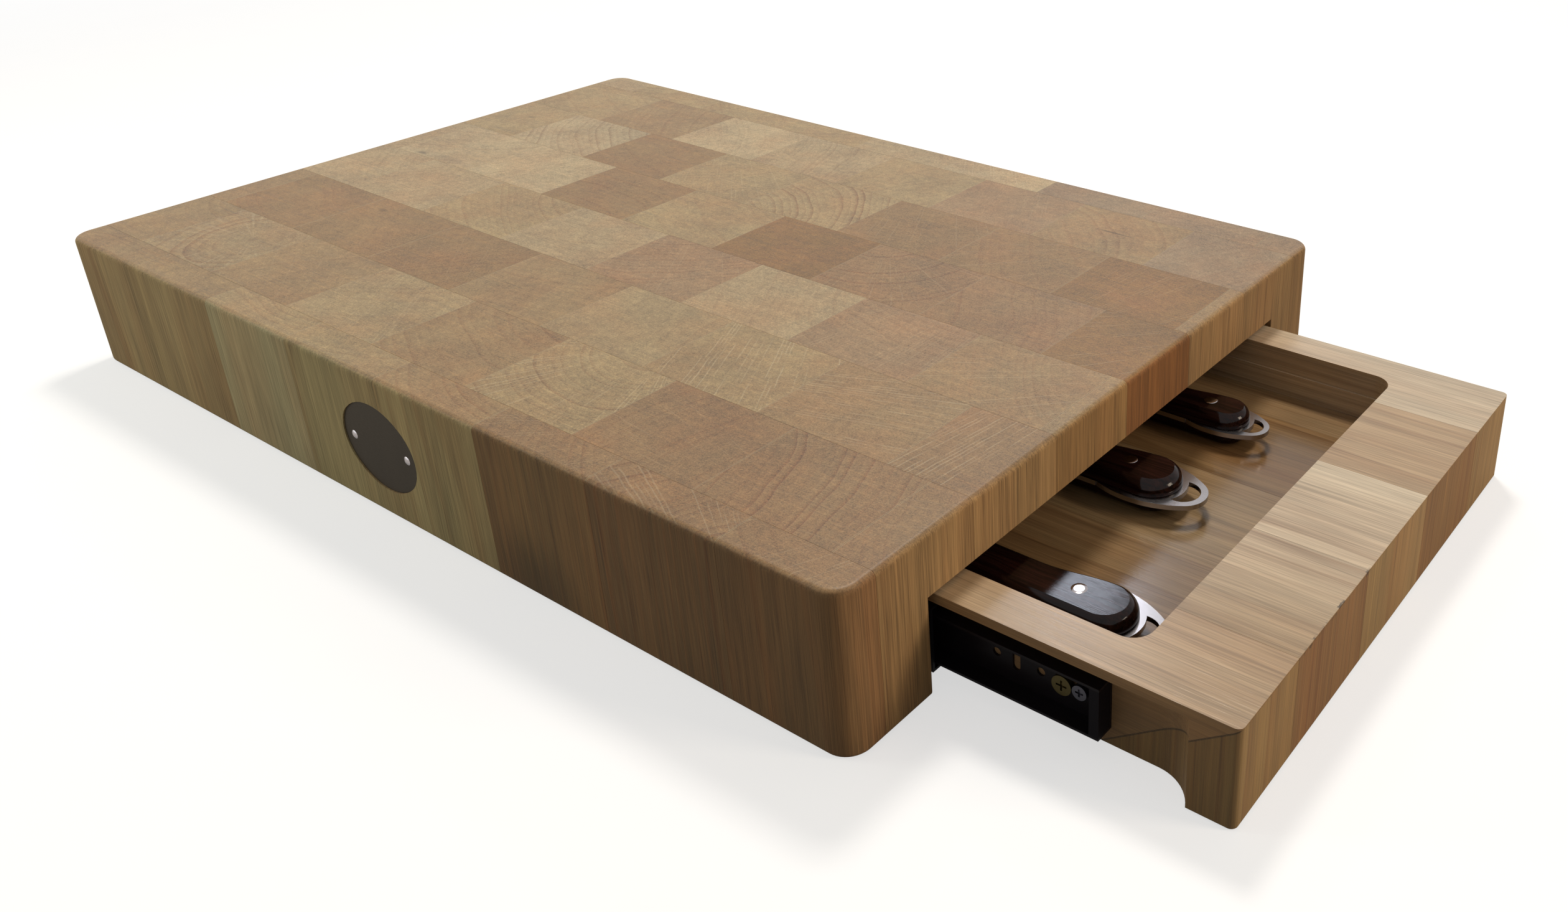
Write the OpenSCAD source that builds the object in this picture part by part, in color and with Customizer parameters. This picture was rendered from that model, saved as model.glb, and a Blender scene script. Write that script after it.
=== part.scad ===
// End-grain cutting block with a drawer tray that slides out of one end on
// full-extension ball slides. Three knives lie in the tray.
// Axes: +X is the way the drawer opens, +Z is up, the block stands on z = 0.
// The drawer is drawn partly open, and the middle of the whole part, as drawn,
// is at the origin. The modules work from the middle of the block, and placed()
// moves them to the part's middle.

/* [Block] */
// Length of the block along the drawer's way
block_l = 600; // [560:1:680]
// Width of the block
block_w = 400; // [380:1:440]
// Height of the block
block_h = 80; // [78:1:100]
// Thickness of the slab over the drawer
slab_t = 30; // [26:1:30]
// Thickness of each side leg
leg_w = 49; // [44:1:56]
// Thickness of the wall that closes the tunnel
back_w = 40; // [30:1:46]
// Radius of the block's upright corners
corner_r = 12; // [9:1:16]
// Radius of the block's long edges
edge_r = 3; // [2:0.5:4]

/* [Staves] */
// Pitch of the staves along a row
stave_pitch = 76.2; // [72:0.1:80]
// Width of the narrow row at the near side
first_row_w = 20.5; // [20:0.5:24]
// Width of the narrow row at the far side
last_row_w = 25.5; // [24:0.5:30]
// Width of a glue line
glue = 0.12; // [0.1:0.01:0.16]

/* [Drawer] */
// How far the drawer is drawn open in this file
open_x = 136; // [100:1:160]
// Gap behind the shut drawer
back_gap = 20; // [15:1:24]
// Gap between the drawer and each leg
side_gap = 5.5; // [5:0.1:6.5]
// Gap between the drawer and the slab
top_gap = 2; // [1.5:0.1:2.5]
// Gap between the drawer and the table
floor_gap = 0.8; // [0.5:0.1:1]
// Width of the three middle strips of the drawer
strip_w = 66; // [62:1:70]
// Depth of the slide recess in the drawer's sides
recess_d = 12; // [11.5:0.1:12.5]
// Thickness of the ledge left above the recess
ledge_t = 4.6; // [4.2:0.1:5]
// Distance from the front face to the end of the recess
recess_front = 20.5; // [18:0.5:24]
// Radius of the cutter that made the recess
recess_r = 20; // [16:1:24]
// Foot of the long mitre, back from the front face
mitre_foot = 65; // [58:1:72]
// Width of the wood in front of the tray
rim_front = 53; // [48:1:60]
// Width of the wood at the other sides of the tray
rim_side = 20; // [18:1:22]
// Thickness of the tray's floor
floor_t = 20.2; // [18:0.2:22]
// Corner radius of the tray
tray_r = 10; // [8:1:14]

/* [Slides] */
// Thickness of a slide
slide_t = 12.7; // [12.6:0.1:13]
// Height of the drawer member
member_h = 25.2; // [24:0.2:26]
// Depth of the drawer member
member_d = 9.5; // [9:0.1:9.8]
// Thickness of the slide's sheet steel
sheet = 1.2; // [1:0.1:1.3]
// Distance from the drawer's front face to the slides
slide_set = 60.5; // [56:0.5:64]
// Distance from the slides to the drawer's back face
slide_end = 29.5; // [25:0.5:35]

/* [Knives] */
// Gap between the tray's front wall and the near knife
knife1_gap = 4; // [3:0.5:12]
// Gap between the tray's front wall and the middle knife
knife2_gap = 39; // [30:1:45]
// Gap between the tray's front wall and the far knife
knife3_gap = 43; // [34:1:50]
// Distance from the tray's near wall to the near knife's rivets
knife1_in = 25.5; // [24:0.5:28]
// Distance from the tray's far wall to the far knife's rivets
knife3_in = 56.5; // [50:0.5:60]
// Blade length of the near knife
blade1_l = 205; // [180:1:220]
// Blade length of the middle knife
blade2_l = 235; // [200:1:250]
// Blade length of the far knife
blade3_l = 125; // [110:1:140]

/* [Hidden] */
$fn = 64;
e = 1;

// block
half_l = block_l / 2;
half_w = block_w / 2;
tunnel_h = block_h - slab_t;
tunnel_w = block_w - 2 * leg_w;
full_rows = 6;
row_w = (block_w - first_row_w - last_row_w) / full_rows;
row_starts = [79, 45, 21, 58, 17, 58, 79, 42];
stave_count = ceil(block_l / stave_pitch) + 1;

// drawer
front_x = half_l + open_x;
drawer_l = block_l - back_w - back_gap;
drawer_w = tunnel_w - 2 * side_gap;
drawer_top = tunnel_h - top_gap;
drawer_h = drawer_top - floor_gap;
back_x = front_x - drawer_l;
side_y = drawer_w / 2;
recess_y = side_y - recess_d;
recess_top = drawer_top - ledge_t;
recess_arc_x = front_x - recess_front - sqrt(recess_r * recess_r - pow(recess_r - recess_d, 2));
mitre_top = drawer_top - 0.6;
front_corner_r = 3;
tray_front = front_x - rim_front;
tray_back = back_x + rim_side;
tray_y = side_y - rim_side;
tray_floor = floor_gap + floor_t;
tray_step = 1;
tray_step_z = tray_floor + 13.5;

// slides; "out" is measured from the recess towards the leg
slide_z = (floor_gap + recess_top) / 2;
slide_l = drawer_l - slide_set - slide_end;
member_front = front_x - slide_set;
slide_front = half_l - slide_set;
middle_l = slide_l - 14;
middle_front = slide_front - 12 + open_x / 2;
ball_r = 1.18;
ball_gap = 2.4;
middle_in = member_h / 2 + ball_gap;
cabinet_in = middle_in + sheet + ball_gap;
cabinet_half = cabinet_in + sheet;
middle_web = member_d + 0.45;
cage_l = 200;
cage_t = 0.8;
cage_back = -cage_l / 2 - slide_set + 75;
ball_count = 8;
ball_pitch = 24;
packer_t = tunnel_w / 2 - recess_y - slide_t;
screw_r = 1.7;
hole_r = 1.75;
yellow_set = 21.4;
silver_set = 13.2;
silver_slot = 16;
last_yellow = slide_l - 120;
yellow_places = [yellow_set, (yellow_set + last_yellow) / 2, last_yellow];
cabinet_places = [46, slide_l / 2 - 15, slide_l - 50];
screw_depth = rim_side + tray_step - recess_d - 2;

// knives
plate_t = 2.5;
spine_t = 2;
scale_t = 7.7;
knife_z = tray_floor + scale_t + plate_t / 2 + 0.05;
rivet_r = 3.6;
rivet_gap = 52;
small = 0.8;

module placed() {
    translate([-open_x / 2, 0, 0])
        children();
}

module round_rect(l, w, r) {
    union() {
        square([l - 2 * r, w], center = true);
        square([l, w - 2 * r], center = true);
        for (sx = [-1, 1])
            for (sy = [-1, 1])
                translate([sx * (l / 2 - r), sy * (w / 2 - r)])
                    circle(r = r);
    }
}

// One long bar with its four long edges rounded, along x.
module rounded_bar(l, w) {
    translate([-l / 2, 0, block_h / 2])
        rotate([90, 0, 90])
            linear_extrude(l)
                round_rect(w, block_h, edge_r);
}

// A round post with rounded rims, for an upright corner of the block.
module corner_post() {
    rotate_extrude()
        intersection() {
            translate([0, block_h / 2])
                round_rect(2 * corner_r, block_h, edge_r);
            square([corner_r, block_h]);
        }
}

// The outer shape of the whole block, with every edge rounded.
module block_shape() {
    union() {
        rounded_bar(block_l - 2 * corner_r, block_w);
        rotate([0, 0, 90])
            rounded_bar(block_w - 2 * corner_r, block_l);
        for (sx = [-1, 1])
            for (sy = [-1, 1])
                translate([sx * (half_l - corner_r), sy * (half_w - corner_r), 0])
                    corner_post();
    }
}

module tunnel() {
    translate([-half_l + back_w, -tunnel_w / 2, -e])
        cube([block_l, tunnel_w, tunnel_h + e]);
}

function row_y(i) = i == 0 ? -half_w
    : i > full_rows + 1 ? half_w
    : -half_w + first_row_w + (i - 1) * row_w;

function stave_x(i, k) = k == 0 ? -half_l - e
    : min(-half_l + row_starts[i] + (k - 1) * stave_pitch, half_l + e);

module row_blanks(i) {
    y0 = row_y(i) + (i == 0 ? -e : glue / 2);
    y1 = row_y(i + 1) + (i == full_rows + 1 ? e : -glue / 2);
    for (k = [0 : stave_count - 1]) {
        x0 = stave_x(i, k) + glue / 2;
        x1 = stave_x(i, k + 1) - glue / 2;
        if (x1 - x0 > 2)
            translate([x0, y0, -e])
                cube([x1 - x0, y1 - y0, block_h + 2 * e]);
    }
}

module block_row(i) {
    difference() {
        intersection() {
            row_blanks(i);
            block_shape();
        }
        tunnel();
        if (i == 0)
            plaque_recess();
        if (i == 1)
            cabinet_screw_holes(-1);
        if (i == full_rows)
            cabinet_screw_holes(1);
    }
}

// plaque
plaque_end_r = 20;
plaque_end_x = 9.5;
plaque_side_r = 33.775;
plaque_side_z = 10.075;
plaque_cut = 23.3;
plaque_t = 1.2;
plaque_sink = 1.9;
plaque_z = block_h / 2;
pin_x = 21.8;

module plaque_shape(grow) {
    union() {
        intersection() {
            translate([0, plaque_side_z])
                circle(r = plaque_side_r + grow);
            translate([0, -plaque_side_z])
                circle(r = plaque_side_r + grow);
            square([2 * plaque_cut, 80], center = true);
        }
        for (s = [-1, 1])
            translate([s * plaque_end_x, 0])
                circle(r = plaque_end_r + grow);
    }
}

module on_long_side(depth) {
    translate([0, -half_w + depth, plaque_z])
        rotate([90, 0, 0])
            children();
}

module plaque_recess() {
    on_long_side(plaque_sink)
        linear_extrude(plaque_sink + e)
            plaque_shape(0.15);
    for (s = [-1, 1])
        translate([s * pin_x, -half_w + 8, plaque_z])
            rotate([90, 0, 0])
                cylinder(r = 0.95, h = 8 + e);
}

module plaque() {
    color([0.33, 0.27, 0.24])
        difference() {
            on_long_side(plaque_sink)
                linear_extrude(plaque_t)
                    plaque_shape(0);
            for (s = [-1, 1])
                translate([s * pin_x, -half_w + 4, plaque_z])
                    rotate([90, 0, 0])
                        cylinder(r = 0.95, h = 8);
        }
}

// A nail with a domed head; the dome is a slice of a ball.
pin_dome_r = 4.13;
pin_head_r = 2.3;
pin_dome_h = pin_dome_r - sqrt(pin_dome_r * pin_dome_r - pin_head_r * pin_head_r);

module plaque_pins() {
    color([0.75, 0.74, 0.72])
        for (s = [-1, 1])
            translate([s * pin_x, -half_w + plaque_sink - plaque_t, plaque_z])
                rotate([90, 0, 0])
                    union() {
                        translate([0, 0, -7])
                            cylinder(r = 0.9, h = 7.2);
                        intersection() {
                            translate([0, 0, pin_dome_h - pin_dome_r])
                                sphere(r = pin_dome_r);
                            cylinder(r = pin_dome_r, h = 3);
                        }
                    }
}

// The drawer's outside in plan, with rounded front corners.
module drawer_plan() {
    union() {
        translate([back_x, -side_y])
            square([drawer_l - front_corner_r, drawer_w]);
        translate([back_x, -side_y + front_corner_r])
            square([drawer_l, drawer_w - 2 * front_corner_r]);
        for (s = [-1, 1])
            translate([front_x - front_corner_r, s * (side_y - front_corner_r)])
                circle(r = front_corner_r);
    }
}

module strips() {
    for (k = [0 : 4]) {
        y0 = k == 0 ? -side_y - e : (k - 2.5) * strip_w + glue / 2;
        y1 = k == 4 ? side_y + e : (k - 1.5) * strip_w - glue / 2;
        translate([back_x - e, y0, floor_gap])
            cube([drawer_l + 2 * e, y1 - y0, drawer_h]);
    }
}

// The recess that holds a slide, open at the back and below.
module recess(s) {
    mirror([0, s < 0 ? 1 : 0, 0])
        translate([0, 0, floor_gap - e])
            linear_extrude(recess_top - floor_gap + e)
                union() {
                    translate([back_x - e, recess_y])
                        square([recess_arc_x - back_x + e, recess_d + e]);
                    intersection() {
                        translate([recess_arc_x, recess_y + recess_r])
                            circle(r = recess_r);
                        translate([recess_arc_x - e, recess_y])
                            square([recess_r, recess_d + e]);
                    }
                }
}

module tray_cut(inset) {
    l = tray_front - tray_back - 2 * inset;
    translate([(tray_front + tray_back) / 2, 0, 0])
        round_rect(l, 2 * (tray_y - inset), tray_r);
}

module tray_pocket() {
    union() {
        translate([0, 0, tray_step_z])
            linear_extrude(drawer_h)
                tray_cut(0);
        translate([0, 0, tray_floor])
            linear_extrude(drawer_h)
                tray_cut(tray_step);
    }
}

// Side view of the mitre: the front piece lies below and before this line.
module mitre_side(shift) {
    polygon([[front_x + e, mitre_top + e * mitre_top / mitre_foot + shift],
             [front_x - mitre_foot - e, floor_gap - e * mitre_top / mitre_foot + shift],
             [front_x - mitre_foot - e, floor_gap - 9],
             [front_x + e, floor_gap - 9]]);
}

module front_wedge(shift) {
    translate([0, half_w, 0])
        rotate([90, 0, 0])
            linear_extrude(block_w)
                mitre_side(shift);
}

module drawer_solid() {
    difference() {
        intersection() {
            strips();
            linear_extrude(block_h)
                drawer_plan();
        }
        for (s = [-1, 1])
            recess(s);
        tray_pocket();
    }
}

module drawer_board() {
    color([0.80, 0.68, 0.50])
        difference() {
            drawer_solid();
            front_wedge(glue / 2);
            drawer_screw_holes();
        }
}

module drawer_front() {
    color([0.72, 0.58, 0.42])
        intersection() {
            drawer_solid();
            front_wedge(-glue / 2);
        }
}

// Puts children at one side of the drawer: x as it is, y outwards from the
// recess, z up from the middle of the slide.
module at_slide(s) {
    mirror([0, s < 0 ? 1 : 0, 0])
        translate([0, recess_y, slide_z])
            children();
}

// A bar along x whose section is drawn in (out, up).
module bar(x0, l) {
    translate([x0, 0, 0])
        rotate([90, 0, 90])
            linear_extrude(l)
                children();
}

module outward(x, out) {
    translate([x, out, 0])
        rotate([-90, 0, 0])
            children();
}

module member_section() {
    union() {
        translate([0, -member_h / 2])
            square([sheet, member_h]);
        for (s = [-1, 1])
            translate([0, s * (member_h - sheet) / 2 - sheet / 2])
                square([member_d, sheet]);
    }
}

// Holes at the front of the drawer member, as in the photo.
module member_holes() {
    outward(member_front - 54.3, -e)
        cylinder(r = 2, h = 4);
    outward(member_front - 32.5, -e)
        cylinder(r = 2, h = 4);
    for (z = [-3, 3])
        translate([member_front - 44.5, -e, z])
            rotate([-90, 0, 0])
                cylinder(r = 1.9, h = 4);
    translate([member_front - 44.5 - 1.9, -e, -3])
        cube([3.8, 4, 6]);
    for (x = [silver_set, silver_slot])
        outward(member_front - x, -e)
            cylinder(r = 3.1, h = 4);
    translate([member_front - silver_slot, -e, -3.1])
        cube([silver_slot - silver_set, 4, 6.2]);
    for (x = yellow_places)
        outward(member_front - x, -e)
            cylinder(r = hole_r, h = 4);
}

module drawer_members() {
    color([0.05, 0.05, 0.06])
        for (s = [-1, 1])
            at_slide(s)
                difference() {
                    bar(member_front - slide_l, slide_l)
                        member_section();
                    member_holes();
                }
}

stop_l = 4.5;

module member_stops() {
    color([0.06, 0.06, 0.07])
        for (s = [-1, 1])
            at_slide(s)
                translate([member_front - stop_l, sheet, -member_h / 2 + sheet])
                    cube([stop_l, member_d - sheet, member_h - 2 * sheet]);
}

module pan_screw(head_r, head_h, l) {
    difference() {
        union() {
            cylinder(r = head_r, h = head_h);
            translate([0, 0, -l])
                cylinder(r = screw_r, h = l + 0.1);
        }
        for (a = [0, 90])
            rotate([0, 0, a])
                translate([-head_r * 0.55, -0.45, head_h - 1])
                    cube([head_r * 1.1, 0.9, 2]);
    }
}

module drawer_screw_holes() {
    for (s = [-1, 1])
        at_slide(s) {
            for (x = yellow_places)
                outward(member_front - x, -screw_depth - 0.3)
                    cylinder(r = hole_r, h = screw_depth + 0.3 + e);
            outward(member_front - silver_set, -screw_depth - 0.3)
                cylinder(r = hole_r, h = screw_depth + 0.3 + e);
        }
}

module yellow_screws() {
    color([0.80, 0.68, 0.34])
        for (s = [-1, 1])
            at_slide(s)
                for (x = yellow_places)
                    outward(member_front - x, sheet)
                        pan_screw(4.6, 2.2, sheet + screw_depth);
}

module silver_screws() {
    color([0.75, 0.75, 0.77])
        for (s = [-1, 1])
            at_slide(s)
                outward(member_front - silver_set, sheet)
                    pan_screw(3.4, 1.9, sheet + screw_depth);
}

module middle_members() {
    color([0.13, 0.13, 0.14])
        for (s = [-1, 1])
            at_slide(s)
                bar(middle_front - middle_l, middle_l)
                    union() {
                        translate([middle_web, -middle_in - sheet])
                            square([sheet, 2 * (middle_in + sheet)]);
                        for (z = [-middle_in - sheet, middle_in])
                            translate([2.4, z])
                                square([middle_web - 2.4 + sheet, sheet]);
                    }
}

module cabinet_members() {
    color([0.16, 0.16, 0.17])
        for (s = [-1, 1])
            at_slide(s)
                difference() {
                    bar(slide_front - slide_l, slide_l)
                        union() {
                            translate([slide_t - sheet, -cabinet_half])
                                square([sheet, 2 * cabinet_half]);
                            for (z = [-cabinet_half, cabinet_in])
                                translate([3.8, z])
                                    square([slide_t - 3.8, sheet]);
                        }
                    for (x = cabinet_places)
                        outward(slide_front - x, slide_t - sheet - 0.01)
                            cylinder(r1 = 3.26, r2 = 2, h = sheet + 0.02);
                }
}

module cabinet_screws() {
    color([0.80, 0.68, 0.34])
        for (s = [-1, 1])
            at_slide(s)
                for (x = cabinet_places)
                    outward(slide_front - x, slide_t - sheet)
                        union() {
                            cylinder(r1 = 3.2, r2 = screw_r + 0.24, h = sheet);
                            cylinder(r = screw_r, h = sheet + 13);
                        }
}

module cabinet_screw_holes(s) {
    at_slide(s)
        for (x = cabinet_places)
            outward(slide_front - x, slide_t - e)
                cylinder(r = hole_r, h = 15 + e);
}

module slide_packers() {
    color([0.62, 0.50, 0.36])
        for (s = [-1, 1])
            at_slide(s)
                difference() {
                    translate([slide_front - slide_l - 5, slide_t, -cabinet_half])
                        cube([slide_l + 10, packer_t, 2 * cabinet_half]);
                    for (x = cabinet_places)
                        outward(slide_front - x, slide_t - e)
                            cylinder(r = hole_r, h = packer_t + 2 * e);
                }
}

// One pair of strips, above and below, at height z from the slide's middle.
module cages(x0, out, z) {
    for (s = [-1, 1])
        at_slide(s)
            for (m = [-1, 1])
                difference() {
                    translate([x0, out - 2.4, m * z - cage_t / 2])
                        cube([cage_l, 4.8, cage_t]);
                    for (k = [0 : ball_count - 1])
                        translate([x0 + 16 + k * ball_pitch, out, m * z - 2])
                            cylinder(r = ball_r + 0.07, h = 4);
                }
}

module balls(x0, out, z) {
    for (s = [-1, 1])
        at_slide(s)
            for (m = [-1, 1])
                for (k = [0 : ball_count - 1])
                    translate([x0 + 16 + k * ball_pitch, out, m * z])
                        sphere(r = ball_r);
}

inner_out = 6;
outer_out = 7.4;
inner_z = (member_h + ball_gap) / 2;
outer_z = middle_in + sheet + ball_gap / 2;
inner_cage_x = cage_back + 0.75 * open_x;
outer_cage_x = cage_back + 0.25 * open_x;

module inner_cages() {
    color([0.60, 0.60, 0.62])
        cages(inner_cage_x, inner_out, inner_z);
}

module inner_balls() {
    color([0.80, 0.80, 0.82])
        balls(inner_cage_x, inner_out, inner_z);
}

module outer_cages() {
    color([0.60, 0.60, 0.62])
        cages(outer_cage_x, outer_out, outer_z);
}

module outer_balls() {
    color([0.80, 0.80, 0.82])
        balls(outer_cage_x, outer_out, outer_z);
}

// Knives. Each lies flat with its rivet at the origin, tail to +x and
// cutting edge to +y; size scales the handle.
butt_x = 12;
butt_r = 15;
swell_r = 13.4;
grip_back = -78;
spine_y = 15;
belly_y = 10;
nose_x = 28.7;
nose_r = 12.3;
plate_r = 50;
plate_cx = 8;
plate_half = 18.5;
plate_cut = 35.45;

module plate_outline() {
    union() {
        intersection() {
            plate_lens();
            translate([-22, -30])
                square([plate_cut + 22, 60]);
        }
        translate([nose_x, 0])
            circle(r = nose_r);
        translate([grip_back, -spine_y - 0.5])
            square([-grip_back - 10, spine_y + belly_y + 1]);
    }
}

module plate_lens() {
    intersection() {
        translate([plate_cx, plate_half - plate_r])
            circle(r = plate_r);
        translate([plate_cx, plate_r - plate_half])
            circle(r = plate_r);
    }
}

module ring_hole() {
    difference() {
        translate([nose_x, 0])
            circle(r = nose_r - 3.4);
        translate([butt_x, 0])
            circle(r = 17.8);
    }
}

// Half a handle: a swell at the butt and a straight grip, both domed.
module scale_half() {
    union() {
        translate([butt_x, 0, 0])
            rotate_extrude()
                polygon([[0, 0], [butt_r, 0], [butt_r, 1.5], [butt_r - 1.2, 5],
                         [butt_r - 3.6, scale_t], [0, scale_t]]);
        translate([0, -1, 0])
            rotate_extrude()
                polygon([[0, 0], [swell_r, 0], [swell_r, 1.5], [swell_r - 1.2, 5],
                         [swell_r - 3.6, scale_t], [0, scale_t]]);
        translate([grip_back, 0, 0])
            rotate([90, 0, 90])
                linear_extrude(-grip_back + butt_x)
                    polygon([[-spine_y, 0], [belly_y, 0], [belly_y, 1.5],
                             [belly_y - 1.2, 5], [belly_y - 3.6, scale_t],
                             [-spine_y + 3.6, scale_t], [-spine_y + 1.2, 5],
                             [-spine_y, 1.5]]);
    }
}

// Blade in plan: heel, straight spine and curved-looking edge.
module blade_outline(l, w) {
    translate([grip_back, -spine_y])
        polygon([[20, 1], [-0.80 * l, 1], [-0.93 * l, 0.20 * w], [-l, 0.46 * w],
                 [-0.97 * l, 0.56 * w], [-0.85 * l, 0.76 * w], [-0.68 * l, 0.90 * w],
                 [-0.45 * l, 0.98 * w], [-14, w], [-12, spine_y + belly_y - 1],
                 [20, spine_y + belly_y - 1]]);
}

module at_knife(gap, y, size) {
    translate([tray_front - gap - (nose_x + nose_r) * size, y, knife_z])
        children();
}

module knife_blade(l, w, size) {
    color([0.72, 0.73, 0.75])
        difference() {
            union() {
                translate([0, 0, -plate_t / 2])
                    linear_extrude(plate_t)
                        scale(size)
                            plate_outline();
                translate([0, 0, -spine_t / 2])
                    linear_extrude(spine_t)
                        scale(size)
                            blade_outline(l / size, w / size);
            }
            translate([0, 0, -plate_t])
                linear_extrude(2 * plate_t)
                    scale(size)
                        ring_hole();
            for (x = [0, -rivet_gap * size])
                translate([x, 0, -plate_t])
                    cylinder(r = rivet_r + 0.05, h = 2 * plate_t);
        }
}

module knife_scales(size) {
    color([0.16, 0.07, 0.05])
        for (m = [0, 1])
            mirror([0, 0, m])
                translate([0, 0, plate_t / 2])
                    difference() {
                        intersection() {
                            union() {
                                translate([0, 0, scale_t - scale_t * size])
                                    scale(size)
                                        scale_half();
                                if (size < 1)
                                    intersection() {
                                        scale(size)
                                            scale_half();
                                        cube([400, 400, scale_t], center = true);
                                    }
                            }
                            translate([-200, -50, 0])
                                cube([400, 100, scale_t]);
                        }
                        for (x = [0, -rivet_gap * size])
                            translate([x, 0, -e])
                                cylinder(r = rivet_r + 0.05, h = scale_t + 2 * e);
                    }
}

module knife_rivets(size) {
    color([0.66, 0.63, 0.60])
        for (x = [0, -rivet_gap * size])
            translate([x, 0, -plate_t / 2 - scale_t])
                cylinder(r = rivet_r, h = plate_t + 2 * scale_t);
}

knife1_y = -tray_y + knife1_in;
knife2_y = -3;
knife3_y = tray_y - knife3_in;

module knife_1() {
    placed()
        at_knife(knife1_gap, knife1_y, 1)
            children();
}

module knife_2() {
    placed()
        at_knife(knife2_gap, knife2_y, 1)
            children();
}

module knife_3() {
    placed()
        at_knife(knife3_gap, knife3_y, small)
            children();
}

module wood_row(i) {
    color([0.78, 0.66, 0.48])
        block_row(i);
}

placed() wood_row(0);  // block_row_1
placed() wood_row(1);  // block_row_2
placed() wood_row(2);  // block_row_3
placed() wood_row(3);  // block_row_4
placed() wood_row(4);  // block_row_5
placed() wood_row(5);  // block_row_6
placed() wood_row(6);  // block_row_7
placed() wood_row(7);  // block_row_8
placed() plaque();
placed() plaque_pins();
placed() slide_packers();
placed() cabinet_members();
placed() cabinet_screws();
placed() outer_cages();
placed() outer_balls();
placed() middle_members();
placed() inner_cages();
placed() inner_balls();
placed() drawer_board();
placed() drawer_front();
placed() drawer_members();
placed() member_stops();
placed() yellow_screws();
placed() silver_screws();
knife_1() knife_blade(blade1_l, 44, 1);  // knife_1_blade
knife_1() knife_scales(1);  // knife_1_scales
knife_1() knife_rivets(1);  // knife_1_rivets
knife_2() knife_blade(blade2_l, 48, 1);  // knife_2_blade
knife_2() knife_scales(1);  // knife_2_scales
knife_2() knife_rivets(1);  // knife_2_rivets
knife_3() knife_blade(blade3_l, 26, small);  // knife_3_blade
knife_3() knife_scales(small);  // knife_3_scales
knife_3() knife_rivets(small);  // knife_3_rivets
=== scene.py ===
"""Cutting board with a drawer tray: its materials, the knives' polished handles
and rivets, the floor, the lamps and the camera. The materials and the handles
are written in millimetres, the stage in metres."""
import math

import bmesh
import bpy
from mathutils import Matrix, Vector

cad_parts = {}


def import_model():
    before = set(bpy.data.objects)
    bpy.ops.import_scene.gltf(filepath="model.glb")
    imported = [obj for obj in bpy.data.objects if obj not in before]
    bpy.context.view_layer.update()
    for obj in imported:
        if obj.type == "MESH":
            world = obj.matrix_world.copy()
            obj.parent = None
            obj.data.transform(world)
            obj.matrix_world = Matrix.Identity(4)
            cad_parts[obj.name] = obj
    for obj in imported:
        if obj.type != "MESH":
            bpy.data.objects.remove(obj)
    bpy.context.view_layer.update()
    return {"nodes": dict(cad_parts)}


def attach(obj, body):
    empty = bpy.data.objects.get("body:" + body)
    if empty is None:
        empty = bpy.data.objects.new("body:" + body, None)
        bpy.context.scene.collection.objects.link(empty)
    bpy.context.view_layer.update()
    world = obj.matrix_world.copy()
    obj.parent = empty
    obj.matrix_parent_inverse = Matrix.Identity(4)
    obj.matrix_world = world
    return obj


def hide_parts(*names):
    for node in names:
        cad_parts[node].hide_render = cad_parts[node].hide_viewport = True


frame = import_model()
nodes = frame["nodes"]

MM = 0.001
WHITE = (1.0, 1.0, 1.0)


def add_object(name, data):
    made = bpy.data.objects.new(name, data)
    bpy.context.scene.collection.objects.link(made)
    return made


def give(name, material):
    """Puts one material on a CAD node."""
    nodes[name].data.materials.clear()
    nodes[name].data.materials.append(material)


# ---------------------------------------------------------------- shader kit
class Value:
    """A shader output that can be added, multiplied and so on."""

    def __init__(self, kit, out):
        self.kit, self.out = kit, out

    def _op(self, op, *others):
        node = self.kit.tree.nodes.new("ShaderNodeMath")
        node.operation = op
        for socket, value in zip(node.inputs, (self, *others)):
            self.kit.put(socket, value)
        return Value(self.kit, node.outputs[0])

    def __add__(self, other):
        return self._op("ADD", other)

    def __sub__(self, other):
        return self._op("SUBTRACT", other)

    def __mul__(self, other):
        return self._op("MULTIPLY", other)

    def __truediv__(self, other):
        return self._op("DIVIDE", other)

    __radd__ = __add__
    __rmul__ = __mul__

    def __rsub__(self, other):
        return (self * -1.0) + other

    def floor(self):
        return self._op("FLOOR")

    def fract(self):
        return self._op("FRACT")

    def abs(self):
        return self._op("ABSOLUTE")

    def power(self, n):
        return self._op("POWER", n)

    def sqrt(self):
        return self._op("SQRT")

    def atan2(self, other):
        return self._op("ARCTAN2", other)

    def max(self, other):
        return self._op("MAXIMUM", other)

    def swing(self, amount):
        """A noise's distance from its middle, times amount."""
        return (self - 0.5) * amount

    def ease(self, low, high):
        """0 below low, 1 above high, smooth between."""
        node = self.kit.tree.nodes.new("ShaderNodeMapRange")
        node.interpolation_type = "SMOOTHSTEP"
        for socket, value in zip(node.inputs, (self, low, high)):
            self.kit.put(socket, value)
        return Value(self.kit, node.outputs[0])


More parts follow.
